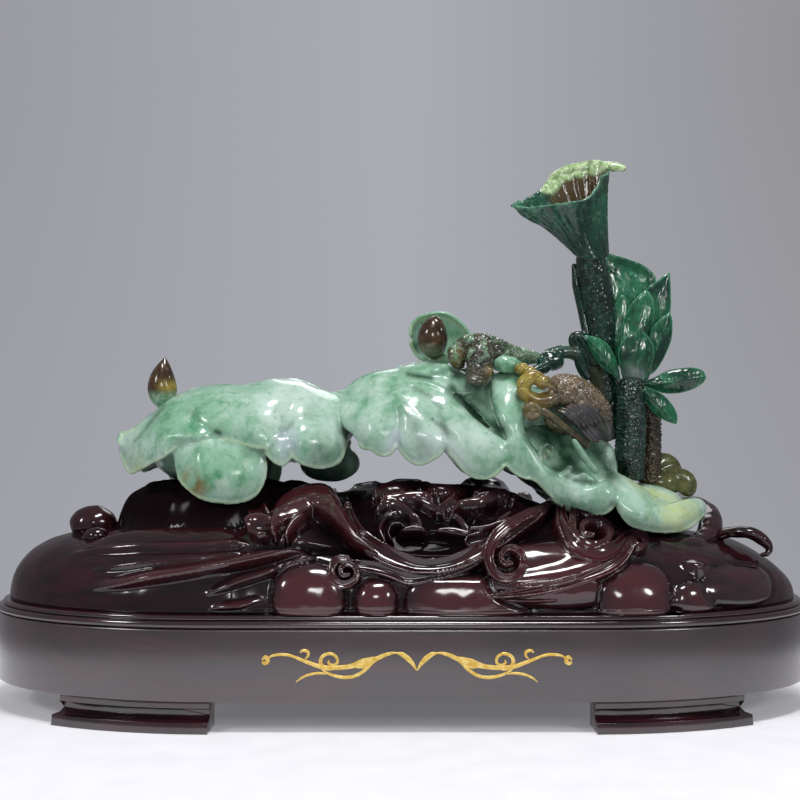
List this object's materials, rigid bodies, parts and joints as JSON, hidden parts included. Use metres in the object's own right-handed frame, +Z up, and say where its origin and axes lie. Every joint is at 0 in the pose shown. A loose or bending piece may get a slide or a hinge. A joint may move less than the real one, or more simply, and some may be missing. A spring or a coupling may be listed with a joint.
{
  "type": "jade carving on a wooden stand",
  "caption": "Pale and dark green stone carving of lotus leaves, flower, buds and birds, resting on a carved dark wooden mound with an oval footed plinth.",
  "frame": {"origin": "middle of the bounding box footprint, on the plane that the feet stand on", "axes": "+Z up, +X along the plinth to the right as seen from the front, front towards -Y"},
  "size_m": [0.56, 0.2468, 0.3803],
  "materials": {
    "jade_pale": "polished",
    "jade_green": "polished",
    "jade_dark": "polished",
    "jade_brown": "polished",
    "rosewood": "gloss",
    "steel": "satin",
    "gilt": "satin"
  },
  "bodies": {
    "stand": {"stand_carving": "rosewood", "plinth_top_board": "rosewood", "front_rail": "rosewood", "back_rail": "rosewood", "left_end_block": "rosewood", "right_end_block": "rosewood", "bottom_board": "rosewood", "foot_front_left": "rosewood", "foot_front_right": "rosewood", "foot_back_left": "rosewood", "foot_back_right": "rosewood", "foot_screw_1": "steel", "foot_screw_2": "steel", "foot_screw_3": "steel", "foot_screw_4": "steel", "foot_screw_5": "steel", "foot_screw_6": "steel", "foot_screw_7": "steel", "foot_screw_8": "steel", "stand_screw_1": "steel", "stand_screw_2": "steel", "stand_screw_3": "steel", "stand_screw_4": "steel", "scroll_inlay_left": "gilt", "scroll_inlay_right": "gilt"},
    "jade": {"bud_left": "jade_brown", "bud_dark": "jade_dark", "bird_upper": "jade_brown", "bird_lower": "jade_brown", "perch": "jade_brown", "twig": "jade_dark", "rolled_leaf": "jade_green", "lotus_flower": "jade_green", "side_leaf": "jade_green", "stalk_front": "jade_dark", "stalk_right": "jade_brown", "stalk_back": "jade_dark", "leaf_olive": "jade_brown", "leaf_upper": "jade_pale", "leaf_middle": "jade_pale", "leaf_left": "jade_pale", "leaf_right": "jade_pale"}
  },
  "joints": [
    {"name": "jade_lift", "type": "slide", "parent": "stand", "child": "jade", "axis": [0, 0, 1], "range_m": [0, 0.12]}
  ]
}
